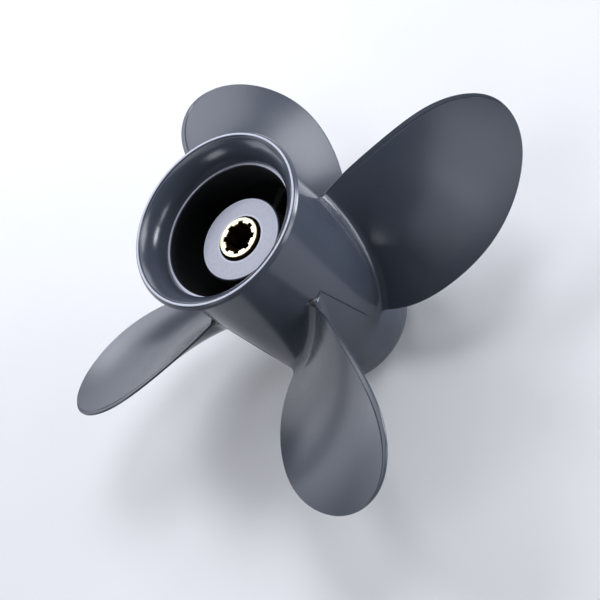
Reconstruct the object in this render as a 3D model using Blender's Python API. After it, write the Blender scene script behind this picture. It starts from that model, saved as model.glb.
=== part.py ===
"""Four-bladed aluminium boat propeller with a hollow exhaust barrel.

The shaft axis is Z. The front end of the barrel rests on z = 0 and the flared after end is on top.
The first blade stands over +X, and the leading edges lie clockwise of the blades as seen from above.
"""

import math

import bmesh
import bpy
import numpy as np

MM = 0.001
GAP = 0.3

# Driving dimensions, in millimetres and degrees
DIAMETER = 235.0
BLADES = 4
PITCH = 287.4
PITCH_CHANGE = -15.8
LENGTH = 112.8

BARREL_RADIUS = 34.3
BARREL_FRONT_RADIUS = 31.3
BARREL_BORE = 29.4
BARREL_END = 98.0
NOSE_LENGTH = 15.0
NOSE_CORNER = 2.5

FLARE_START = 104.2
FLARE_RADIUS = 39.4
FLARE_STEPS = 6
LIP_RADIUS = 1.4
LIP_UNDERCUT = 40.0
STEP_HEIGHT = 101.4
STEP_WIDTH = 1.8
STEP_BEVEL = 0.6
BELL_STEPS = 5

HUB_RADIUS = 18.9
HUB_FACE = 92.7
HUB_CORNER = 1.0
HUB_FRONT = 9.0
HUB_BORE = 14.8
HUB_HOLE = 10.1
END_WALL = 4.5
BUSH_INSET = 1.0

SLEEVE_RADIUS = 9.2
SLEEVE_FRONT = 6.0
SLEEVE_END = 94.0
SPLINES = 8
SPLINE_TURN = 17.4
SPLINE_MINOR = 6.3
SPLINE_MAJOR = 7.4
SPLINE_WIDTH = 2.6
SPLINE_FLANK = 0.5

RIBS = 4
RIB_TURN = 45.0
RIB_THICKNESS = 4.0
RIB_FRONT = 12.0
RIB_END = 80.0

# Where the blade's edges lie at each radius: the turn of the leading edge and of the trailing edge
BLADE_EDGES = (
    (34.6, -42.1, 19.7),
    (42.0, -41.0, 19.3),
    (50.0, -39.0, 18.5),
    (60.0, -35.6, 17.3),
    (70.0, -31.8, 16.1),
    (80.0, -27.7, 14.9),
    (90.0, -23.2, 13.5),
    (100.0, -17.9, 11.3),
    (107.0, -13.3, 9.1),
    (112.0, -9.3, 6.8),
    (115.5, -5.6, 4.2),
)
TIP_TURN = -0.4
RULE_CIRCLE = 30.0
BLADE_MIDDLE = 54.0
RAKE = 11.1
RAKE_CURL = -1.8
CAMBER = 10.8
ROOT_THICKNESS = 6.8
EDGE_THICKNESS = 1.1
EDGE_BULGE = 1.4
LAND_WIDTH = 2.0
LAND_DROP = 0.5
LAND_START = 36.0
LAND_FULL = 58.0
FILLET = 2.8
FILLET_ROWS = (0.0, 0.3, 0.9, 1.8)
END_SWELL = 0.3
SPAN_ROWS = 14
CHORD_STEPS = 12
DEPTH_STEPS = 3


def material(name, colour, roughness, metallic):
    made = bpy.data.materials.new(name)
    made.use_nodes = True
    shader = made.node_tree.nodes["Principled BSDF"]
    shader.inputs["Base Color"].default_value = (*colour, 1.0)
    shader.inputs["Roughness"].default_value = roughness
    shader.inputs["Metallic"].default_value = metallic
    return made


def add_object(name, points, faces, finish):
    """A named object from points in millimetres."""
    mesh = bpy.data.meshes.new(name)
    mesh.from_pydata([[c * MM for c in point] for point in points], [], faces)
    mesh.materials.append(finish)
    made = bpy.data.objects.new(name, mesh)
    bpy.context.scene.collection.objects.link(made)
    return made


def smooth(made, angle=35.0):
    made.data.shade_smooth()
    made.data.set_sharp_from_angle(angle=math.radians(angle))


def turned(name, profile, steps, finish):
    """A closed profile of (radius, height), down its outer side and up its inner one, turned about Z."""
    mesh = bpy.data.meshes.new(name)
    count = len(profile)
    edges = [(i, (i + 1) % count) for i in range(count)]
    mesh.from_pydata([(r * MM, 0.0, z * MM) for r, z in profile], edges, [])
    made = bpy.data.objects.new(name, mesh)
    bpy.context.scene.collection.objects.link(made)
    screw = made.modifiers.new("turn", "SCREW")
    screw.steps = steps
    screw.render_steps = steps
    screw.use_merge_vertices = True
    screw.merge_threshold = 1e-6
    screw.use_smooth_shade = True
    mesh.materials.append(finish)
    return made


def arc(centre, radius, start, end, steps):
    """Points of an arc in the profile plane, from one angle to another in degrees."""
    angles = [math.radians(start + (end - start) * i / steps) for i in range(steps + 1)]
    return [(centre[0] + radius * math.cos(a), centre[1] + radius * math.sin(a)) for a in angles]


def barrel(finish):
    top = BARREL_END - GAP / 2
    shoulder = (BARREL_RADIUS + BARREL_FRONT_RADIUS + NOSE_CORNER) / 2
    profile = [
        (BARREL_RADIUS, top),
        (BARREL_RADIUS, NOSE_LENGTH),
        (shoulder, NOSE_LENGTH / 2),
        (BARREL_FRONT_RADIUS + NOSE_CORNER * 0.4, NOSE_CORNER),
        (BARREL_FRONT_RADIUS, 0.0),
        (BARREL_BORE, 0.0),
        (BARREL_BORE, top),
    ]
    return turned("barrel", profile, 64, finish)


def flare_ring(finish):
    """The flared end: a curve like a trumpet's outside and inside, a rounded lip, and a step to the bore."""
    bottom = BARREL_END + GAP / 2
    centre = (FLARE_RADIUS - LIP_RADIUS, LENGTH - LIP_RADIUS)
    lip = arc(centre, LIP_RADIUS, 90.0, -LIP_UNDERCUT, 6)
    across = lip[-1][0] - BARREL_RADIUS
    rise = lip[-1][1] - FLARE_START
    step = BARREL_BORE + STEP_WIDTH
    crest = (centre[0] - LIP_RADIUS * 0.5, LENGTH - LIP_RADIUS * 0.2)
    profile = lip
    for i in range(1, FLARE_STEPS + 1):
        a = math.pi / 2 * (1.0 - i / FLARE_STEPS)
        profile.append((BARREL_RADIUS + across * (1.0 - math.cos(a)), FLARE_START + rise * math.sin(a)))
    profile.append((BARREL_RADIUS, bottom))
    profile.append((BARREL_BORE, bottom))
    profile.append((BARREL_BORE, STEP_HEIGHT - STEP_BEVEL))
    profile.append((BARREL_BORE + STEP_BEVEL, STEP_HEIGHT))
    profile.append((step, STEP_HEIGHT))
    for i in range(1, BELL_STEPS + 1):
        a = math.pi / 2 * i / BELL_STEPS
        reach = (crest[0] - step) * (1.0 - math.cos(a))
        profile.append((step + reach, STEP_HEIGHT + (crest[1] - STEP_HEIGHT) * math.sin(a)))
    return turned("flare_ring", profile, 64, finish)


def inner_hub(finish):
    corner = (HUB_RADIUS - HUB_CORNER, HUB_FACE - HUB_CORNER)
    profile = arc(corner, HUB_CORNER, 90.0, 0.0, 2)
    profile.append((HUB_RADIUS, HUB_FRONT))
    profile.append((HUB_BORE, HUB_FRONT))
    profile.append((HUB_BORE, HUB_FACE - END_WALL))
    profile.append((HUB_HOLE, HUB_FACE - END_WALL))
    profile.append((HUB_HOLE, HUB_FACE))
    return turned("inner_hub", profile, 48, finish)


def rubber_bush(finish):
    top = HUB_FACE - END_WALL - GAP
    bottom = HUB_FRONT + BUSH_INSET
    outer = HUB_BORE - GAP
    inner = SLEEVE_RADIUS + GAP
    return turned("rubber_bush", [(outer, top), (outer, bottom), (inner, bottom), (inner, top)], 48, finish)


def spline_bore():
    """(turn, radius) around the sleeve's bore: three points on each slot's bottom and five on the land."""
    period = 360.0 / SPLINES
    half = math.degrees(SPLINE_WIDTH / 2 / SPLINE_MAJOR)
    first = half + SPLINE_FLANK
    last = period - first
    bore = []
    for k in range(SPLINES):
        start = SPLINE_TURN + k * period
        bore += [(start + turn, SPLINE_MAJOR) for turn in (-half, 0.0, half)]
        bore += [(start + first + (last - first) * share / 4, SPLINE_MINOR) for share in range(5)]
    return bore


def splined_sleeve(finish):
    """A tube whose bore has spline slots: its rings are outer and inner, below and above."""
    bore = spline_bore()
    count = len(bore)
    points = []
    for height in (SLEEVE_FRONT, SLEEVE_END):
        for outer in (True, False):
            for turn, radius in bore:
                r = SLEEVE_RADIUS if outer else radius
                a = math.radians(turn)
                points.append((r * math.cos(a), r * math.sin(a), height))
    faces = []
    for i in range(count):
        j = (i + 1) % count
        faces.append((i, j, 2 * count + j, 2 * count + i))
        faces.append((count + j, count + i, 3 * count + i, 3 * count + j))
        faces.append((2 * count + i, 2 * count + j, 3 * count + j, 3 * count + i))
        faces.append((j, i, count + i, count + j))
    made = add_object("splined_sleeve", points, faces, finish)
    smooth(made)
    return made


def rib(index, finish):
    """A flat web between inner hub and barrel; it keeps clear of both where its corners come nearest."""
    half = RIB_THICKNESS / 2
    inner = HUB_RADIUS + GAP
    outer = math.sqrt((BARREL_BORE - GAP) ** 2 - half**2)
    corners = ((inner, -half), (outer, -half), (outer, half), (inner, half))
    points = [(x, y, z) for z in (RIB_FRONT, RIB_END) for x, y in corners]
    faces = [(3, 2, 1, 0), (4, 5, 6, 7), (0, 1, 5, 4), (1, 2, 6, 5), (2, 3, 7, 6), (3, 0, 4, 7)]
    made = add_object(f"rib_{index + 1}", points, faces, finish)
    made.rotation_euler.z = math.radians(RIB_TURN + index * 360.0 / RIBS)
    return made


def spline_through(knots, values, at):
    """A natural cubic spline through the knots, read at each place."""
    knots = np.asarray(knots)
    values = np.asarray(values)
    count = len(knots)
    h = np.diff(knots)
    system = np.eye(count)
    right = np.zeros(count)
    for i in range(1, count - 1):
        system[i, i - 1 : i + 2] = (h[i - 1], 2 * (h[i - 1] + h[i]), h[i])
        right[i] = 6 * ((values[i + 1] - values[i]) / h[i] - (values[i] - values[i - 1]) / h[i - 1])
    bend = np.linalg.solve(system, right)
    at = np.asarray(at, float)
    i = np.clip(np.searchsorted(knots, at) - 1, 0, count - 2)
    a = (knots[i + 1] - at) / h[i]
    b = 1.0 - a
    cubic = ((a**3 - a) * bend[i] + (b**3 - b) * bend[i + 1]) * h[i] ** 2 / 6
    return a * values[i] + b * values[i + 1] + cubic


def way_out(radius):
    """How far out this radius lies: 0 on the rule circle and 1 at the tip."""
    return min(1.0, (radius - RULE_CIRCLE) / (DIAMETER / 2 - RULE_CIRCLE))


def edge_turns(radii):
    """Turns of the leading and trailing edge, in radians, at each radius: one curve around the tip."""
    knots = [math.asin(way_out(r)) for r, _, _ in BLADE_EDGES]
    way = knots + [math.pi / 2] + [math.pi - k for k in reversed(knots)]
    turns = [lead for _, lead, _ in BLADE_EDGES] + [TIP_TURN]
    turns += [trail for _, _, trail in reversed(BLADE_EDGES)]
    swings = np.array([math.asin(way_out(r)) for r in radii])
    lead = np.radians(spline_through(way, turns, swings))
    trail = np.radians(spline_through(way, turns, math.pi - swings))
    return lead, trail


def blade_radii():
    """The radius of each row, close together in the root fillet and towards the tip."""
    root = BARREL_RADIUS + GAP
    first = math.asin(way_out(root + FILLET))
    reach = DIAMETER / 2 - RULE_CIRCLE
    radii = [root + rise for rise in FILLET_ROWS]
    return radii + [RULE_CIRCLE + reach * math.sin(s) for s in np.linspace(first, math.pi / 2, SPAN_ROWS)]


def fillet_at(radius):
    """How far the root fillet swells the section at this radius."""
    left = min(FILLET, FILLET - (radius - BARREL_RADIUS - GAP))
    return FILLET - math.sqrt(FILLET**2 - left**2) if left > 0 else 0.0


def land_at(radius):
    """How much of the trailing edge's flat land there is at this radius, from next to none to all."""
    return min(1.0, max(0.1, (radius - LAND_START) / (LAND_FULL - LAND_START)))


def chord_places(chord, land):
    """Shares of the way from leading to trailing edge: even steps up to the land, and the land itself."""
    share = min(0.5, LAND_WIDTH * land / max(chord, MM))
    return [(1.0 - share) * i / (CHORD_STEPS - 1) for i in range(CHORD_STEPS)] + [1.0]


def section(radius, lead, trail):
    """Points of the section on this radius: a list along the chord of lists from pressure to suction face."""
    out = way_out(radius)
    swell = fillet_at(radius)
    land = land_at(radius)
    thickest = EDGE_THICKNESS + (ROOT_THICKNESS - EDGE_THICKNESS) * (1 - out)
    pitch = (PITCH + PITCH_CHANGE * out) / (2 * math.pi)
    chord = (trail - lead) * math.hypot(radius, pitch)
    points = []
    for along in chord_places(chord, land):
        turn = lead + (trail - lead) * along
        climb = pitch + 2 * CAMBER * turn
        height = BLADE_MIDDLE + RAKE * out + RAKE_CURL * out**2 + pitch * turn + CAMBER * turn**2
        length = math.hypot(radius, climb)
        forth = np.array([radius / length, climb / length])
        up = np.array([-climb / length, radius / length])
        thickness = EDGE_THICKNESS + (thickest - EDGE_THICKNESS) * 4 * along * (1 - along)
        drop = LAND_DROP * land * max(0.0, 1.0 - (1.0 - along) * chord / (LAND_WIDTH * land))
        nose = EDGE_THICKNESS * EDGE_BULGE if along == 0.0 and trail > lead + 1e-6 else 0.0
        column = []
        for j in range(DEPTH_STEPS + 1):
            deep = j / DEPTH_STEPS
            ahead = swell * END_SWELL * (2 * along - 1) - nose * deep * (1 - deep)
            rise = (swell - drop) * (1 - deep) - (thickness + swell) * deep
            here = np.array([radius * turn, height]) + forth * ahead + up * rise
            a = here[0] / radius
            column.append((radius * math.cos(a), radius * math.sin(a), here[1]))
        points.append(column)
    return points


def section_rim():
    """Places around a section: the pressure face, the trailing edge, the suction face, the leading edge."""
    rim = [(i, 0) for i in range(CHORD_STEPS + 1)]
    rim += [(CHORD_STEPS, j) for j in range(1, DEPTH_STEPS)]
    rim += [(i, DEPTH_STEPS) for i in range(CHORD_STEPS, -1, -1)]
    rim += [(0, j) for j in range(DEPTH_STEPS - 1, 0, -1)]
    return rim


def root_quad(place, i, j):
    return (place[0, i, j], place[0, i, j + 1], place[0, i + 1, j + 1], place[0, i + 1, j])


def blade(index, finish):
    radii = blade_radii()
    lead, trail = edge_turns(radii)
    rim = section_rim()
    inside = [(i, j) for i in range(1, CHORD_STEPS) for j in range(1, DEPTH_STEPS)]
    points = []
    place = {}
    for row, radius in enumerate(radii):
        grid = section(radius, lead[row], trail[row])
        for i, j in rim + (inside if row == 0 else []):
            place[row, i, j] = len(points)
            points.append(grid[i][j])
    faces = [root_quad(place, i, j) for i in range(CHORD_STEPS) for j in range(DEPTH_STEPS)]
    for row in range(len(radii) - 1):
        for (i, j), (k, m) in zip(rim, rim[1:] + rim[:1]):
            faces.append((place[row, i, j], place[row, k, m], place[row + 1, k, m], place[row + 1, i, j]))
    made = add_object(f"blade_{index + 1}", points, faces, finish)
    tidy_mesh(made)
    made.rotation_euler.z = 2 * math.pi * index / BLADES
    smooth(made)
    return made


def tidy_mesh(made):
    """Merges the points that meet at the tip, and points all faces outwards."""
    work = bmesh.new()
    work.from_mesh(made.data)
    bmesh.ops.remove_doubles(work, verts=work.verts, dist=1e-6)
    bmesh.ops.dissolve_degenerate(work, edges=work.edges, dist=1e-6)
    bmesh.ops.recalc_face_normals(work, faces=work.faces)
    work.to_mesh(made.data)
    work.free()


def main():
    for old in list(bpy.data.objects):
        bpy.data.objects.remove(old)
    paint = material("grey_paint", (0.16, 0.175, 0.21), 0.35, 0.0)
    rubber = material("black_rubber", (0.02, 0.02, 0.02), 0.7, 0.0)
    brass = material("brass", (0.85, 0.70, 0.45), 0.3, 1.0)
    barrel(paint)
    flare_ring(paint)
    inner_hub(paint)
    for index in range(RIBS):
        rib(index, paint)
    for index in range(BLADES):
        blade(index, paint)
    rubber_bush(rubber)
    splined_sleeve(brass)


main()
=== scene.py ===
"""Looks of a four-bladed boat propeller: a painted casting with a rubber bush and a splined brass sleeve.

The shaft axis is Z. The front end of the barrel stands on z = 0 and the flared after end is on top.
Sizes are in millimetres and degrees, and MM turns them into Blender's metres.
"""

import math

import bpy
import numpy as np
from mathutils import Matrix, Vector

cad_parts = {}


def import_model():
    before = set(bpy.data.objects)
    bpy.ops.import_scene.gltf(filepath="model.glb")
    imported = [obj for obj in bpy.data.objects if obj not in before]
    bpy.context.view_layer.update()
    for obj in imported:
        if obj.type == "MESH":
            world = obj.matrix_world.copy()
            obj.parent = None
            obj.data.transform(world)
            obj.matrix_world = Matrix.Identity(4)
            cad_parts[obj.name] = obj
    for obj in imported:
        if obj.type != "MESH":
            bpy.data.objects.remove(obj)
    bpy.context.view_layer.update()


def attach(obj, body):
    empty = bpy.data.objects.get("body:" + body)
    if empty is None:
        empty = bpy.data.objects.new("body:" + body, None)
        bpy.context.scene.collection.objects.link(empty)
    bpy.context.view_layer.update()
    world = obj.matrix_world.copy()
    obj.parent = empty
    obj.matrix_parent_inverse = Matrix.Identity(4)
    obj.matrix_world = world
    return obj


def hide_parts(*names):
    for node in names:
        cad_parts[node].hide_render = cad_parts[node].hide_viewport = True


MM = 0.001

# The casting's barrel, with its flared after end
BARREL_RADIUS = 34.3
FRONT_RADIUS = 31.3
BORE_RADIUS = 29.4
NOSE_LENGTH = 14.0
LENGTH = 112.8
FLARE_START = 104.2
STEP_HEIGHT = 101.4
AROUND = 512

# The blades: sizes, and the turn of the leading and of the trailing edge at each radius
BLADES = 4
BLADE_SIZES = {
    "Diameter": 235.0,
    "Rule Circle": 30.0,
    "Root Radius": 34.2,
    "Barrel Radius": 34.3,
    "Pitch": 287.4,
    "Pitch Change": -15.8,
    "Middle Height": 54.0,
    "Rake": 11.1,
    "Rake Curl": -1.8,
    "Camber": 10.8,
    "Root Thickness": 6.8,
    "Edge Thickness": 1.1,
    "Land Width": 2.0,
    "Land Drop": 0.12,
    "Land Start": 36.0,
    "Land Full": 58.0,
    "Land Steps": 0.125,
    "Groove": 0.2,
    "Fillet": 4.2,
    "End Swell": 0.3,
}
BLADE_EDGES = (
    (34.6, -42.1, 19.7),
    (42.0, -41.0, 19.3),
    (50.0, -39.0, 18.5),
    (60.0, -35.6, 17.3),
    (70.0, -31.8, 16.1),
    (80.0, -27.7, 14.9),
    (90.0, -23.2, 13.5),
    (100.0, -17.9, 11.3),
    (107.0, -13.3, 9.1),
    (112.0, -9.3, 6.8),
    (115.5, -5.6, 4.2),
)
TIP_TURN = -0.4
WAVE_COUNT = 10

# Colours of the finishes
PAINT = (0.056, 0.065, 0.084)
PAINT_DEEP = (0.048, 0.057, 0.074)
# Painted highlights: the pale tops and the brighter edges stand in for the key light's reflection
PAINT_TOP_HIGHLIGHT = (0.40, 0.41, 0.48)
PAINT_EDGE_HIGHLIGHT = (0.60, 0.62, 0.70)
PAINT_CHIP = (0.30, 0.32, 0.36)
# Painted shade: near black for the exhaust, the corners by the blade roots and the parting lines
SHADE_BLACK = (0.004, 0.0045, 0.0045)
BRASS = (0.80, 0.70, 0.50)
BRASS_DULL = (0.72, 0.60, 0.38)
# Painted shade on the sleeve's bore and outer side
BRASS_SHADE = (0.10, 0.06, 0.02)

# The place of the painted shade in the corner beside a blade's trailing root
ROOT_TURN = -69.8
ROOT_HEIGHT = 72.8

# The viewpoint: a turn vector and a place, and the lens for a 36 mm wide picture
CAMERA_SPIN = (-0.53206824, -0.45506238, 0.45548467)
CAMERA_PLACE = (133.438, -276.031, 406.596)
LENS = 63.57

# The studio: soft panels as (height angle, turn, power), all aimed at one point
SOFTBOXES = (
    (49.0, 118.0, 3.9),
    (58.0, 28.0, 3.9),
    (6.0, 0.0, 9.6),
    (6.0, 330.0, 3.4),
    (22.0, 105.0, 2.1),
    (40.0, 70.0, 2.0),
    (22.0, 225.0, 2.1),
    (22.0, 165.0, 1.4),
    (75.0, 216.0, 1.05),
    (6.0, 150.0, 1.0),
    (6.0, 120.0, 0.7),
    (58.0, 208.0, 0.6),
)
LIGHT_CENTRE = Vector((0.0, 0.0, 60.0))
LIGHT_REACH = 1.1
LIGHT_SIZE = 0.4
LIGHT_COLOUR = (0.95, 0.98, 1.08)

# The hub in the middle, with its ribs, bush and sleeve
HUB_RADIUS = 18.95
HUB_FACE = 92.7
HUB_FRONT = 9.0
HUB_BORE = 14.8
HUB_HOLE = 10.1
END_WALL = 4.5
RIB_SIZES = {"Inner Radius": 18.6, "Outer Radius": 29.7, "Thickness": 4.0, "Fillet": 2.2, "Front": 12.0, "Aft": 80.0}
SLEEVE_RADIUS = 9.2
SLEEVE_FRONT = 6.0
SLEEVE_END = 94.0
SPLINES = 8
SPLINE_TURN = 17.4
SPLINE_MINOR = 6.3
SPLINE_MAJOR = 7.4
SPLINE_WIDTH = 2.6

# The parting line on the barrel, in degrees and millimetres
LINE_SIZES = {
    "Barrel Radius": BARREL_RADIUS - 0.06,
    "Corner Turn": -60.0,
    "Corner Height": 72.4,
    "Corner": 0.0016,
    "Line Turn": 6.9,
    "Line Fall": 39.0,
    "Hook Turn": 7.6,
    "Hook Fall": 2.0,
    "Shift": 0.0,
    "Sink": 0.3,
    "Width": 0.26,
}


class Rule:
    """A number in a node tree: what is worked out with it becomes Math nodes."""

    def __init__(self, tree, socket):
        self.tree = tree
        self.socket = socket

    def step(self, operation, *others):
        node = self.tree.nodes.new("ShaderNodeMath")
        node.operation = operation
        for place, value in zip(node.inputs, (self, *others)):
            if isinstance(value, Rule):
                self.tree.links.new(value.socket, place)
            else:
                place.default_value = value
        return Rule(self.tree, node.outputs[0])

    def __add__(self, other):
        return self.step("ADD", other)

    def __sub__(self, other):
        return self.step("SUBTRACT", other)

    def __mul__(self, other):
        return self.step("MULTIPLY", other)

    def __truediv__(self, other):
        return self.step("DIVIDE", other)

    def __pow__(self, other):
        return self.step("POWER", other)

    def __neg__(self):
        return self * -1.0

    def __rsub__(self, other):
        return self * -1.0 + other

    __radd__ = __add__
    __rmul__ = __mul__

    def cos(self):
        return self.step("COSINE")

    def sin(self):
        return self.step("SINE")

    def root(self):
        return self.step("SQRT")

    def arcsine(self):
        return self.step("ARCSINE")

    def size(self):
        return self.step("ABSOLUTE")

    def at_least(self, other):
        return self.step("MAXIMUM", other)

    def at_most(self, other):
        return self.step("MINIMUM", other)

    def above(self, other):
        return self.step("GREATER_THAN", other)


def shape_tree(name, sizes, counts):
    """A Geometry Nodes tree with named inputs, the readings of those inputs, and its ends."""
    tree = bpy.data.node_groups.new(name, "GeometryNodeTree")
    for label, value in sizes.items():
        socket = tree.interface.new_socket(label, in_out="INPUT", socket_type="NodeSocketFloat")
        socket.default_value = value
    for label, value in counts.items():
        socket = tree.interface.new_socket(label, in_out="INPUT", socket_type="NodeSocketInt")
        socket.default_value = value
    tree.interface.new_socket("Material", in_out="INPUT", socket_type="NodeSocketMaterial")
    tree.interface.new_socket("Geometry", in_out="OUTPUT", socket_type="NodeSocketGeometry")
    given = tree.nodes.new("NodeGroupInput")
    readings = {label: Rule(tree, given.outputs[label]) for label in sizes}
    return tree, given, readings


def join(tree, start, end):
    tree.links.new(start, end)


def combine(tree, x, y, z):
    node = tree.nodes.new("ShaderNodeCombineXYZ")
    for place, value in zip(node.inputs, (x, y, z)):
        if isinstance(value, Rule):
            tree.links.new(value.socket, place)
        else:
            place.default_value = value
    return node.outputs[0]


def block(tree, given, labels):
    """A block of unit size that the tree bends: its geometry and the share of the way across it in x, y and z."""
    cube = tree.nodes.new("GeometryNodeMeshCube")
    for axis, label in zip("XYZ", labels):
        join(tree, given.outputs[label], cube.inputs[f"Vertices {axis}"])
    place = tree.nodes.new("GeometryNodeInputPosition")
    split = tree.nodes.new("ShaderNodeSeparateXYZ")
    join(tree, place.outputs[0], split.inputs[0])
    return cube.outputs[0], [Rule(tree, split.outputs[i]) + 0.5 for i in range(3)]


def bend_and_repeat(tree, given, geometry, place, count_label):
    """Moves the points to their place, merges the ones that meet, and repeats the shape around the shaft axis."""
    nodes = tree.nodes
    move = nodes.new("GeometryNodeSetPosition")
    merge = nodes.new("GeometryNodeMergeByDistance")
    merge.inputs["Distance"].default_value = 0.00002
    join(tree, geometry, move.inputs["Geometry"])
    join(tree, place, move.inputs["Position"])
    join(tree, move.outputs[0], merge.inputs["Geometry"])
    spots = nodes.new("GeometryNodePoints")
    join(tree, given.outputs[count_label], spots.inputs["Count"])
    number = Rule(tree, nodes.new("GeometryNodeInputIndex").outputs[0])
    repeat = nodes.new("GeometryNodeInstanceOnPoints")
    join(tree, spots.outputs[0], repeat.inputs["Points"])
    join(tree, merge.outputs[0], repeat.inputs["Instance"])
    turn = number * (2 * math.pi) / Rule(tree, given.outputs[count_label])
    join(tree, combine(tree, 0.0, 0.0, turn), repeat.inputs["Rotation"])
    real = nodes.new("GeometryNodeRealizeInstances")
    paint = nodes.new("GeometryNodeSetMaterial")
    end = nodes.new("NodeGroupOutput")
    join(tree, repeat.outputs[0], real.inputs[0])
    join(tree, real.outputs[0], paint.inputs["Geometry"])
    join(tree, given.outputs["Material"], paint.inputs["Material"])
    join(tree, paint.outputs[0], end.inputs[0])


def grown(name, tree, values, finish):
    """Runs a tree with these values and keeps the result as a plain mesh."""
    holder = bpy.data.objects.new(name + "_tree", bpy.data.meshes.new(name + "_tree"))
    bpy.context.scene.collection.objects.link(holder)
    modifier = holder.modifiers.new("shape", "NODES")
    modifier.node_group = tree
    for item in tree.interface.items_tree:
        if item.in_out == "INPUT" and item.name in values:
            modifier[item.identifier] = values[item.name]
        elif item.in_out == "INPUT" and item.name == "Material":
            modifier[item.identifier] = finish
    holder.update_tag()
    made = bpy.data.meshes.new_from_object(holder.evaluated_get(bpy.context.evaluated_depsgraph_get()))
    made.name = name
    bpy.data.objects.remove(holder)
    return piece(name, made, finish)


def piece(name, mesh, finish, angle=40.0):
    mesh.materials.clear()
    mesh.materials.append(finish)
    mesh.shade_smooth()
    mesh.set_sharp_from_angle(angle=math.radians(angle))
    made = bpy.data.objects.new(name, mesh)
    bpy.context.scene.collection.objects.link(made)
    return made


def ringed(name, rings, finish, angle=40.0):
    """A closed body of rings, each a list of points, joined to the next and the last one to the first."""
    count = len(rings[0])
    points = [[c * MM for c in point] for ring in rings for point in ring]
    faces = []
    for i in range(len(rings)):
        here, after = i * count, (i + 1) % len(rings) * count
        for j in range(count):
            k = (j + 1) % count
            faces.append((here + j, after + j, after + k, here + k))
    mesh = bpy.data.meshes.new(name)
    mesh.from_pydata(points, [], faces)
    return piece(name, mesh, finish, angle)


def turned(name, profile, steps, finish, angle=40.0):
    """A profile of (radius, height), down its outer side and up its inner one, turned about Z."""
    rings = []
    for radius, height in profile:
        ring = []
        for j in range(steps):
            a = 2 * math.pi * j / steps
            ring.append((radius * math.cos(a), radius * math.sin(a), height))
        rings.append(ring)
    return ringed(name, rings, finish, angle)


def arc(centre, radii, start, end, steps):
    """Points of an arc in the profile plane, from one angle to another in degrees."""
    points = []
    for i in range(steps + 1):
        a = math.radians(start + (end - start) * i / steps)
        points.append((centre[0] + radii[0] * math.cos(a), centre[1] + radii[1] * math.sin(a)))
    return points


def stretch(start, end, steps):
    """Points from start up to, but without, the end."""
    return [tuple(np.array(start) + (np.array(end) - np.array(start)) * i / steps) for i in range(steps)]


def barrel_shell(finish):
    lip = arc((37.75, 111.6), (1.2, 1.2), 150, 45, 10)
    flank = stretch((38.75, 112.25), (39.2, 111.2), 4)
    edge = arc((39.2, 110.95), (0.2, 0.25), 40, -80, 8)
    under = []
    for t in np.linspace(math.pi / 2, 0, 16):
        under.append((BARREL_RADIUS + 4.7 * (1 - math.cos(t)), FLARE_START + 6.3 * math.sin(t)))
    side = stretch((BARREL_RADIUS, FLARE_START - 1.0), (BARREL_RADIUS, NOSE_LENGTH), 60)
    nose = []
    for t in np.linspace(1.0, 0.06, 12):
        nose.append((BARREL_RADIUS - 3.0 * (1 - t) ** 1.6, NOSE_LENGTH * t))
    foot = arc((FRONT_RADIUS - 0.6, 0.6), (0.6, 0.6), 0, -90, 4)
    heel = arc((BORE_RADIUS + 0.5, 0.5), (0.5, 0.5), -90, -180, 4)
    bore = stretch((BORE_RADIUS, 1.5), (BORE_RADIUS, STEP_HEIGHT - 0.8), 24)
    ring = arc((BORE_RADIUS + 0.4, STEP_HEIGHT - 0.4), (0.4, 0.4), 180, 90, 6)
    ring += [(30.2, STEP_HEIGHT), (30.5, STEP_HEIGHT - 0.02), (30.6, STEP_HEIGHT - 0.02)]
    bell = []
    for a in np.radians(np.linspace(2.0, 66.0, 32)):
        bell.append((30.65 + 10.1 * (1 - math.cos(a)), STEP_HEIGHT + 11.8 * math.sin(a)))
    profile = lip + flank + edge + under + side + nose + foot + heel + bore + ring + bell
    return turned("barrel_shell", profile, AROUND, finish, angle=50.0)


def hub_shell(finish):
    profile = arc((HUB_RADIUS - 0.9, HUB_FACE - 0.9), (0.9, 0.9), 90, 0, 8)
    profile += stretch((HUB_RADIUS, HUB_FACE - 3.0), (HUB_RADIUS, HUB_FRONT + 0.5), 10)
    profile += arc((HUB_RADIUS - 0.5, HUB_FRONT + 0.5), (0.5, 0.5), 0, -90, 4)
    profile += arc((HUB_BORE + 0.4, HUB_FRONT + 0.4), (0.4, 0.4), -90, -180, 4)
    profile += [(HUB_BORE, HUB_FACE - END_WALL), (HUB_HOLE, HUB_FACE - END_WALL)]
    profile += arc((HUB_HOLE + 0.25, HUB_FACE - 0.25), (0.25, 0.25), 180, 90, 4)
    profile += stretch((HUB_HOLE + 1.0, HUB_FACE), (HUB_RADIUS - 1.5, HUB_FACE), 4)
    return turned("hub_shell", profile, 256, finish)


def bush(finish):
    top = HUB_FACE - END_WALL - 0.3
    front = HUB_FRONT + 1.0
    outer = HUB_BORE - 0.1
    inner = SLEEVE_RADIUS + 0.1
    profile = arc((outer - 0.6, top - 0.6), (0.6, 0.6), 90, 0, 4)
    profile += stretch((outer, top - 2.0), (outer, front + 0.8), 8)
    profile += arc((outer - 0.8, front + 0.8), (0.8, 0.8), 0, -90, 6)
    profile += [((outer + inner) / 2 + 1.2, front), ((outer + inner) / 2, front + 0.5), ((outer + inner) / 2 - 1.2, front)]
    profile += arc((inner + 0.6, front + 0.6), (0.6, 0.6), -90, -180, 4)
    profile += stretch((inner, front + 2.0), (inner, top), 8) + [(inner, top)]
    return turned("bush", profile, 192, finish)


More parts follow.
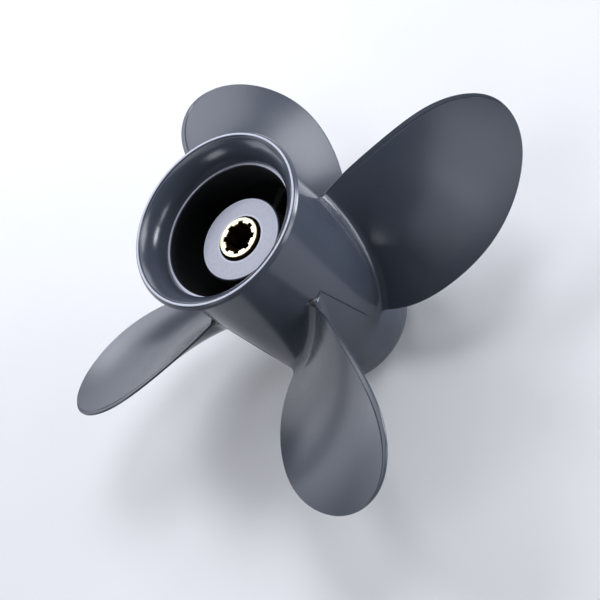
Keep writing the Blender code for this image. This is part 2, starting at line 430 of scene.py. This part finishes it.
def sleeve_radius(turn, inset):
    """The bore's radius at this turn: spline slots, with the edge of each end broken by inset."""
    period = 360.0 / SPLINES
    off = (turn - SPLINE_TURN + period / 2) % period - period / 2
    half = math.degrees(SPLINE_WIDTH / 2 / SPLINE_MAJOR)
    wall = math.degrees(0.12 / SPLINE_MAJOR)
    share = min(1.0, max(0.0, (half + wall - abs(off)) / (2 * wall)))
    return SPLINE_MINOR + (SPLINE_MAJOR - SPLINE_MINOR) * share + inset


def sleeve(finish):
    break_edge = 0.3
    rows = [(False, SLEEVE_END, break_edge), (False, SLEEVE_END - break_edge, 0.0)]
    rows += [(False, SLEEVE_END - 6.0, 0.0), (False, SLEEVE_FRONT + 6.0, 0.0)]
    rows += [(False, SLEEVE_FRONT + break_edge, 0.0), (False, SLEEVE_FRONT, break_edge)]
    rows += [(True, SLEEVE_FRONT, break_edge), (True, SLEEVE_FRONT + break_edge, 0.0)]
    rows += [(True, SLEEVE_END - break_edge, 0.0), (True, SLEEVE_END, break_edge)]
    steps = 720
    rings = []
    for inside, height, inset in rows:
        ring = []
        for j in range(steps):
            turn = 360.0 * j / steps
            r = sleeve_radius(turn, inset) if inside else SLEEVE_RADIUS - inset
            a = math.radians(turn)
            ring.append((r * math.cos(a), r * math.sin(a), height))
        rings.append(ring)
    return ringed("sleeve", rings, finish, 25.0)


def edge_waves():
    """The blade's outline as cosine waves of the swing: 0 at the root, a quarter turn at the tip and on round."""
    reach = BLADE_SIZES["Diameter"] / 2 - BLADE_SIZES["Rule Circle"]
    knots = [math.asin((r - BLADE_SIZES["Rule Circle"]) / reach) for r, _, _ in BLADE_EDGES]
    swings = knots + [math.pi / 2] + [math.pi - k for k in reversed(knots)]
    turns = [lead for _, lead, _ in BLADE_EDGES] + [TIP_TURN]
    turns += [trail for _, _, trail in reversed(BLADE_EDGES)]
    table = np.array([[math.cos(order * swing) for order in range(WAVE_COUNT)] for swing in swings])
    return [float(wave) for wave in np.linalg.lstsq(table, np.radians(turns), rcond=None)[0]]


def edge_turns(swing):
    """The turn of the blade's middle line and half the turn between its edges, in radians, at a swing."""
    waves = edge_waves()
    middle = waves[0]
    half = swing.cos() * -waves[1]
    for order in range(2, WAVE_COUNT, 2):
        middle = (swing * float(order)).cos() * waves[order] + middle
    for order in range(3, WAVE_COUNT, 2):
        half = half - (swing * float(order)).cos() * waves[order]
    return middle, half


def blade_tree():
    counts = {"Blades": BLADES, "Chord Points": 73, "Span Points": 97, "Edge Points": 9}
    tree, given, size = shape_tree("propeller blades", BLADE_SIZES, counts)
    body, (across, outward, upward) = block(tree, given, ("Chord Points", "Span Points", "Edge Points"))
    reach = size["Diameter"] * 0.5 - size["Rule Circle"]
    first = ((size["Root Radius"] - size["Rule Circle"]) / reach).arcsine()
    swing = first + (math.pi / 2 - first) * outward**1.5
    out = swing.sin()
    radius = size["Rule Circle"] + reach * out
    middle, half = edge_turns(swing)
    pitch = (size["Pitch"] + size["Pitch Change"] * out) / (2 * math.pi)
    chord = half * 2.0 * (radius * radius + pitch * pitch).root()
    land = ((radius - size["Land Start"]) / (size["Land Full"] - size["Land Start"])).at_least(0.05).at_most(1.0)
    width = size["Land Width"] * land
    share = (width / chord.at_least(0.001)).at_most(0.5)
    in_land = (across / size["Land Steps"]).at_most(1.0)
    before = ((across - size["Land Steps"]) / (1.0 - size["Land Steps"])).at_least(0.0)
    fore = (before * math.pi).cos() * 0.5 + 0.5
    along = (1.0 - share) * fore + share * (0.5 + 0.5 * (in_land * math.pi).cos())
    turn = middle + half * (along * 2.0 - 1.0)
    climb = pitch + size["Camber"] * 2.0 * turn
    height = size["Middle Height"] + size["Rake"] * out + size["Rake Curl"] * out * out
    height = height + pitch * turn + size["Camber"] * turn * turn
    length = (radius * radius + climb * climb).root()
    round_forth = radius / length
    rise_forth = climb / length
    deep = (upward * math.pi).cos() * 0.5 + 0.5
    left = (size["Fillet"] - (radius - size["Barrel Radius"])).at_least(0.0).at_most(size["Fillet"])
    swell = size["Fillet"] - (size["Fillet"] * size["Fillet"] - left * left).root()
    edge = size["Edge Thickness"]
    thickest = edge + (size["Root Thickness"] - edge) * (1.0 - out)
    thickness = edge + (thickest - edge) * along * (1.0 - along) * 4.0
    from_end = (1.0 - along) * chord
    drop = size["Land Drop"] * land * (1.0 - from_end / width).at_least(0.0)
    drop = drop + size["Groove"] * land * (1.0 - (from_end - width).size() * 4.0).at_least(0.0)
    open_chord = (half * 40.0).at_most(1.0)
    bow = (1.0 - (deep * 2.0 - 1.0) ** 2.0).at_least(0.0).root() * open_chord
    lead_end = (1.0 - along).above(0.99999)
    trail_end = along.above(0.99999)
    forth = swell * size["End Swell"] * (along * 2.0 - 1.0) - bow * lead_end * edge * 0.5 + bow * trail_end * 0.25
    rise = (swell - drop) * (1.0 - deep) - (thickness + swell) * deep
    round_trip = radius * turn + round_forth * forth - rise_forth * rise
    height = height + rise_forth * forth + round_forth * rise
    angle = round_trip / radius
    place = combine(tree, radius * angle.cos() * MM, radius * angle.sin() * MM, height * MM)
    bend_and_repeat(tree, given, body, place, "Blades")
    return tree, {**BLADE_SIZES, **counts}


def rib_tree():
    counts = {"Ribs": 4, "Points Across": 17, "Points Out": 25, "Points Along": 13}
    tree, given, size = shape_tree("hub ribs", RIB_SIZES, counts)
    body, (outward, across, upward) = block(tree, given, ("Points Out", "Points Across", "Points Along"))
    share = 0.5 - (outward * math.pi).cos() * 0.5
    radius = size["Inner Radius"] + (size["Outer Radius"] - size["Inner Radius"]) * share
    near = (radius - size["Inner Radius"]).at_most(size["Outer Radius"] - radius)
    left = (size["Fillet"] - near).at_least(0.0)
    swell = size["Fillet"] - (size["Fillet"] * size["Fillet"] - left * left).root()
    half = size["Thickness"] * 0.5 + swell
    side = across * 2.0 - 1.0
    crown = size["Thickness"] * 0.25 * (1.0 - side * side).at_least(0.0).root()
    height = size["Front"] + (size["Aft"] - size["Front"]) * upward + crown * (upward * 2.0 - 1.0) ** 21.0
    turn = math.radians(45.0)
    x = radius * math.cos(turn) - half * side * math.sin(turn)
    y = radius * math.sin(turn) + half * side * math.cos(turn)
    bend_and_repeat(tree, given, body, combine(tree, x * MM, y * MM, height * MM), "Ribs")
    return tree, {**RIB_SIZES, **counts}


def line_tree():
    """The fine line that the mould's parting leaves on the barrel: it hooks round a blade's trailing root."""
    counts = {"Lines": BLADES, "Points": 121}
    tree, given, size = shape_tree("parting lines", LINE_SIZES, counts)
    line = tree.nodes.new("GeometryNodeMeshLine")
    join(tree, given.outputs["Points"], line.inputs["Count"])
    number = Rule(tree, tree.nodes.new("GeometryNodeInputIndex").outputs[0])
    share = number * 2.0 / (Rule(tree, given.outputs["Points"]) - 1.0) - 1.0
    bend = (share * share + size["Corner"]).root()
    ahead = (bend + share) * 0.5
    behind = (bend - share) * 0.5
    turn = size["Corner Turn"] + size["Line Turn"] * ahead - size["Hook Turn"] * behind
    turn = turn * (math.pi / 180)
    height = size["Corner Height"] - size["Line Fall"] * ahead - size["Hook Fall"] * behind + size["Shift"]
    radius = size["Barrel Radius"] - size["Sink"] * (share.size() ** 12.0)
    place = combine(tree, radius * turn.cos() * MM, radius * turn.sin() * MM, height * MM)
    move = tree.nodes.new("GeometryNodeSetPosition")
    join(tree, line.outputs[0], move.inputs["Geometry"])
    join(tree, place, move.inputs["Position"])
    curve = tree.nodes.new("GeometryNodeMeshToCurve")
    join(tree, move.outputs[0], curve.inputs[0])
    ring = tree.nodes.new("GeometryNodeCurvePrimitiveCircle")
    ring.inputs["Resolution"].default_value = 8
    join(tree, (size["Width"] * MM).socket, ring.inputs["Radius"])
    skin = tree.nodes.new("GeometryNodeCurveToMesh")
    skin.inputs["Fill Caps"].default_value = True
    join(tree, curve.outputs[0], skin.inputs["Curve"])
    join(tree, ring.outputs[0], skin.inputs["Profile Curve"])
    still = tree.nodes.new("GeometryNodeInputPosition")
    bend_and_repeat(tree, given, skin.outputs[0], still.outputs[0], "Lines")
    return tree, {**LINE_SIZES, **counts}


def finish_tree(name):
    """A new finish: its shader, and the place on the object in millimetres with its radius and height."""
    made = bpy.data.materials.new(name)
    made.use_nodes = True
    tree = made.node_tree
    where = tree.nodes.new("ShaderNodeTexCoord")
    scaled = tree.nodes.new("ShaderNodeVectorMath")
    scaled.operation = "SCALE"
    scaled.inputs["Scale"].default_value = 1.0 / MM
    join(tree, where.outputs["Object"], scaled.inputs[0])
    split = tree.nodes.new("ShaderNodeSeparateXYZ")
    join(tree, scaled.outputs[0], split.inputs[0])
    x, y, height = (Rule(tree, split.outputs[i]) for i in range(3))
    turn = y.step("ARCTAN2", x) * (180 / math.pi)
    facing = tree.nodes.new("ShaderNodeSeparateXYZ")
    join(tree, where.outputs["Normal"], facing.inputs[0])
    spot = {"place": scaled.outputs[0], "radius": (x * x + y * y).root(), "height": height, "turn": turn}
    spot["facing_up"] = Rule(tree, facing.outputs[2])
    return made, tree, spot


def noise(tree, spot, size, detail=3.0, seed=0.0):
    """Soft random shares, about as large as size in millimetres."""
    node = tree.nodes.new("ShaderNodeTexNoise")
    node.noise_dimensions = "4D"
    node.inputs["Scale"].default_value = 1.0 / size
    node.inputs["Detail"].default_value = detail
    node.inputs["W"].default_value = seed
    join(tree, spot["place"], node.inputs["Vector"])
    return Rule(tree, node.outputs[0])


def specks(tree, spot, spacing, size, share):
    """Small round specks in some of the cells of a random grid: 1 in a speck and 0 outside."""
    cells = tree.nodes.new("ShaderNodeTexVoronoi")
    cells.inputs["Scale"].default_value = 1.0 / spacing
    join(tree, spot["place"], cells.inputs["Vector"])
    split = tree.nodes.new("ShaderNodeSeparateColor")
    join(tree, cells.outputs["Color"], split.inputs[0])
    chosen = (1.0 - Rule(tree, split.outputs[0])).above(1.0 - share)
    width = (Rule(tree, split.outputs[1]) * 0.7 + 0.3) * (size / spacing)
    return ramp(Rule(tree, cells.outputs["Distance"]), width, width * 0.6) * chosen


def ramp(value, low, high):
    """0 at low, 1 at high and even in between."""
    return ((value - low) / (high - low)).at_least(0.0).at_most(1.0)


def mix(tree, share, first, second):
    """A colour between two: each is a colour of three numbers or the outlet of another node."""
    node = tree.nodes.new("ShaderNodeMix")
    node.data_type = "RGBA"
    join(tree, share.socket, node.inputs["Factor"])
    for place, colour in ((node.inputs["A"], first), (node.inputs["B"], second)):
        if isinstance(colour, tuple):
            place.default_value = (*colour, 1.0)
        else:
            join(tree, colour, place)
    return node.outputs["Result"]


def bump(tree, relief, depth):
    """Turns a relief in millimetres into a normal for the shader."""
    node = tree.nodes.new("ShaderNodeBump")
    node.inputs["Distance"].default_value = depth * MM
    node.inputs["Strength"].default_value = 1.0
    join(tree, relief.socket, node.inputs["Height"])
    return node.outputs[0]


def put(made, colour, roughness, normal, **fixed):
    """Wires the colour, roughness and normal into the shader, and sets the numbers that are the same all over."""
    tree = made.node_tree
    shader = tree.nodes["Principled BSDF"]
    join(tree, colour, shader.inputs["Base Color"])
    join(tree, roughness.socket, shader.inputs["Roughness"])
    if normal:
        join(tree, normal, shader.inputs["Normal"])
    for label, value in fixed.items():
        shader.inputs[label.replace("_", " ").title()].default_value = value
    return made


def satin_paint():
    """Dark blue-grey paint on the casting, with painted shade in the exhaust and in the corners by the blade roots,
    and painted highlights on the machined faces that look up and on their edges.
    """
    made, tree, spot = finish_tree("satin_grey_paint")
    broad = noise(tree, spot, 22.0)
    fine = noise(tree, spot, 1.6, 2.0, 3.0)
    colour = mix(tree, ramp(broad, 0.3, 0.7), PAINT_DEEP, PAINT)
    radius, height = spot["radius"], spot["height"]
    # Painted shade: the exhaust's bore, ribs and hub sides are made near black, but not the hub's end face
    within = ramp(radius, 29.9, 29.6) * ramp(height, 101.0, 100.6) * ramp(radius, 14.0, 14.5)
    hub = ramp(radius, 19.4, 19.2) * ramp(height, 91.7, 92.3)
    exhaust_shade = within * (1.0 - hub)
    # Painted highlight: faces that look up, from the hub face's height upward, are made pale and their edges paler
    # still; the chips and dark specks on them are real wear
    level = ramp(spot["facing_up"], 0.90, 0.98) * ramp(radius, 39.6, 39.3) * ramp(height, 92.0, 92.4)
    edge_highlight = level * (ramp(radius, 28.0, 28.5) + ramp(radius, 17.6, 18.3) * ramp(radius, 20.0, 19.5))
    edge_highlight = (edge_highlight + level * ramp(radius, 11.3, 10.8)).at_most(1.0)
    top_highlight = level * (ramp(fine, 0.25, 0.6) * 0.12 + 0.88)
    grit = specks(tree, spot, 8.0, 0.36, 0.10) * (0.35 + 0.65 * level)
    dark_grit = specks(tree, spot, 3.1, 0.25, 0.06) * level
    # Painted shade in the corner beside each blade's trailing root
    root = root_corner_shade(spot)
    # Painted highlight on the faces that look up and on their edges
    colour = mix(tree, top_highlight, colour, PAINT_TOP_HIGHLIGHT)
    colour = mix(tree, edge_highlight * 0.8, colour, PAINT_EDGE_HIGHLIGHT)
    colour = mix(tree, grit * 0.4, colour, PAINT_CHIP)
    colour = mix(tree, dark_grit, colour, PAINT_DEEP)
    # Painted shade: near black in the exhaust and in the corners by the blade roots
    colour = mix(tree, (exhaust_shade + root).at_most(1.0), colour, SHADE_BLACK)
    roughness = broad * 0.06 + fine * 0.05 + 0.16 + (exhaust_shade + root) * 0.5 + level * 0.14 + grit * 0.2
    relief = fine * 0.25 + grit * 0.6 + noise(tree, spot, 9.0, 1.0, 8.0) * 0.6
    return put(made, colour, roughness, bump(tree, relief, 0.005))


def root_corner_shade(spot):
    """Painted shade in the corner beside each blade's trailing root: 1 in its middle and 0 away from it."""
    off = (spot["turn"] - ROOT_TURN + 45.0).step("FLOORED_MODULO", 90.0) - 45.0
    rise = spot["height"] - ROOT_HEIGHT
    away = ((off / 2.6) ** 2.0 + (rise / 1.7) ** 2.0).root()
    return ramp(away, 1.0, 0.55) * ramp(spot["radius"], 38.0, 36.5) * ramp(spot["radius"], 33.5, 34.0)


def parting_line_shadow():
    """Painted shadow along the parting line: a near black, mottled finish."""
    made, tree, spot = finish_tree("parting_line_shadow")
    grain = noise(tree, spot, 1.1)
    colour = mix(tree, grain, SHADE_BLACK, (0.02, 0.022, 0.026))
    return put(made, colour, grain * 0.2 + 0.55, bump(tree, grain, 0.01))


def bush_rubber():
    made, tree, spot = finish_tree("black_rubber")
    grain = noise(tree, spot, 0.8)
    colour = mix(tree, grain, (0.012, 0.012, 0.012), (0.03, 0.03, 0.03))
    return put(made, colour, grain * 0.2 + 0.6, bump(tree, grain, 0.02))


def turned_brass():
    """Machined brass: fine rings on its end faces, with painted shade in the bore and on the outer side."""
    made, tree, spot = finish_tree("brass")
    grain = noise(tree, spot, 1.2)
    rings = (spot["radius"] * 24.0).sin()
    # Painted shade: the bore and the outer side wall are made dark brown
    bore = ramp(spot["radius"], 7.6, 7.45) * ramp(spot["height"], 93.95, 93.6) * ramp(spot["height"], 6.05, 6.4)
    side = ramp(spot["radius"], 8.95, 9.1)
    colour = mix(tree, ramp(grain, 0.35, 0.75), BRASS, BRASS_DULL)
    colour = mix(tree, (bore + side).at_most(1.0), colour, BRASS_SHADE)
    return put(made, colour, grain * 0.15 + 0.38 + bore * 0.2, bump(tree, rings * 0.2 + grain, 0.004), metallic=1.0)


def pale_table():
    made, tree, spot = finish_tree("pale_table")
    grain = noise(tree, spot, 40.0)
    colour = mix(tree, grain, (0.86, 0.855, 0.84), (0.89, 0.885, 0.87))
    return put(made, colour, grain * 0.1 + 0.55, None)


def area_light(name, place, target, width, height, power, colour=(1.0, 1.0, 1.0)):
    data = bpy.data.lights.new(name, "AREA")
    data.shape = "RECTANGLE"
    data.size = width
    data.size_y = height
    data.energy = power
    data.color = colour
    made = bpy.data.objects.new(name, data)
    made.location = place
    made.rotation_euler = (Vector(target) - Vector(place)).to_track_quat("-Z", "Y").to_euler()
    bpy.context.scene.collection.objects.link(made)
    return made


def camera():
    """The viewpoint of the picture: above and to one side of the after end, rolled."""
    data = bpy.data.cameras.new("camera")
    data.sensor_width = 36.0
    data.lens = LENS
    data.clip_start = 0.01
    made = bpy.data.objects.new("camera", data)
    spin = Vector(CAMERA_SPIN)
    turn = Matrix.Rotation(spin.length, 3, spin.normalized()).transposed()
    made.matrix_world = Matrix.Translation(Vector(CAMERA_PLACE) * MM) @ turn.to_4x4()
    bpy.context.scene.collection.objects.link(made)
    bpy.context.scene.camera = made


def floor(finish):
    half = 3.0
    mesh = bpy.data.meshes.new("floor")
    mesh.from_pydata([(-half, -half, 0.0), (half, -half, 0.0), (half, half, 0.0), (-half, half, 0.0)], [], [(0, 1, 2, 3)])
    made = piece("floor", mesh, finish)


def softboxes():
    """Soft panels around the table, each given by its height angle, its turn and its power."""
    for number, (rise, turn, power) in enumerate(SOFTBOXES, 1):
        a, b = math.radians(rise), math.radians(turn)
        way = Vector((math.cos(a) * math.cos(b), math.cos(a) * math.sin(b), math.sin(a)))
        place = LIGHT_CENTRE * MM + way * LIGHT_REACH
        area_light(f"softbox_{number}", place, LIGHT_CENTRE * MM, LIGHT_SIZE, LIGHT_SIZE, power, LIGHT_COLOUR)


def world(colour, strength):
    made = bpy.data.worlds.new("studio")
    made.use_nodes = True
    made.node_tree.nodes["Background"].inputs[0].default_value = (*colour, 1.0)
    made.node_tree.nodes["Background"].inputs[1].default_value = strength
    bpy.context.scene.world = made


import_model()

paint = satin_paint()
shadow = parting_line_shadow()
rubber = bush_rubber()
brass = turned_brass()
pale = pale_table()

camera()
floor(pale)
world((1.0, 1.0, 1.0), 0.02)
softboxes()

barrel = barrel_shell(paint)
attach(barrel, "root")
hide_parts("barrel", "flare_ring")

hub = hub_shell(paint)
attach(hub, "root")
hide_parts("inner_hub")

ribs = grown("hub_ribs", *rib_tree(), paint)
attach(ribs, "root")
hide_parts("rib_1", "rib_2", "rib_3", "rib_4")

blades = grown("blades", *blade_tree(), paint)
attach(blades, "root")
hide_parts("blade_1", "blade_2", "blade_3", "blade_4")

# The parting lines carry the painted shadow finish
lines = grown("parting_lines", *line_tree(), shadow)
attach(lines, "root")

seam_tree, seam_sizes = line_tree()
seam_sizes.update({"Shift": 0.42, "Corner Turn": -59.7, "Width": 0.2})
seams = grown("parting_seams", seam_tree, seam_sizes, paint)
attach(seams, "root")

drive_bush = bush(rubber)
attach(drive_bush, "root")
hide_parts("rubber_bush")

drive_sleeve = sleeve(brass)
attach(drive_sleeve, "root")
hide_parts("splined_sleeve")

bpy.context.scene.view_settings.view_transform = "Standard"
